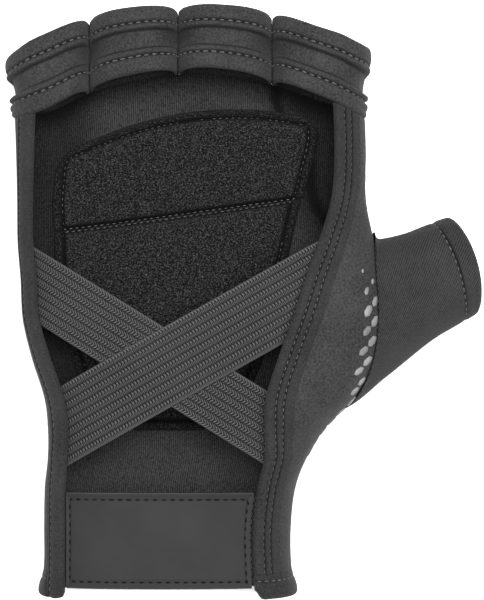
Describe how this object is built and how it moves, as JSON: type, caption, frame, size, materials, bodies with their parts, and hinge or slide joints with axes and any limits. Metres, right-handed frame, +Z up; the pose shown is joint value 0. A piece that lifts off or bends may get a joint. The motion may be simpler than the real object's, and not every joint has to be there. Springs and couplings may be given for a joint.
{
  "type": "weightlifting glove",
  "caption": "Open-back left-hand weightlifting glove with short finger loops, a thumb sleeve, palm pads, crossed elastic straps and a wrist closure.",
  "frame": {"origin": "middle of the base of the glove as it lies on its palm", "axes": "+Y from the wrist to the fingers, +X towards the thumb, +Z up out of the back of the hand"},
  "size_m": [0.1268, 0.1558, 0.0354],
  "materials": {
    "stretch_cloth": "matt charcoal stretch cloth",
    "twill_knit": "fine diagonal rib knit",
    "edge_tape": "matt folded binding",
    "pad_felt": "brushed loop felt",
    "ribbed_elastic": "ribbed woven elastic",
    "moulded_patch": "smooth matt moulded rubber"
  },
  "bodies": {
    "root": {"palm_shell": "stretch_cloth", "thumb_sleeve": "twill_knit", "edge_tape_little": "edge_tape", "edge_tape_thumb": "edge_tape", "finger_loop_little": "stretch_cloth", "finger_loop_ring": "stretch_cloth", "finger_loop_middle": "stretch_cloth", "finger_loop_index": "stretch_cloth", "palm_pad_upper": "pad_felt", "palm_pad_lower": "pad_felt", "cross_strap_over": "ribbed_elastic", "cross_strap_under": "ribbed_elastic", "wrist_strap": "ribbed_elastic", "wrist_patch": "moulded_patch", "cuff_hem": "stretch_cloth"}
  },
  "joints": []
}
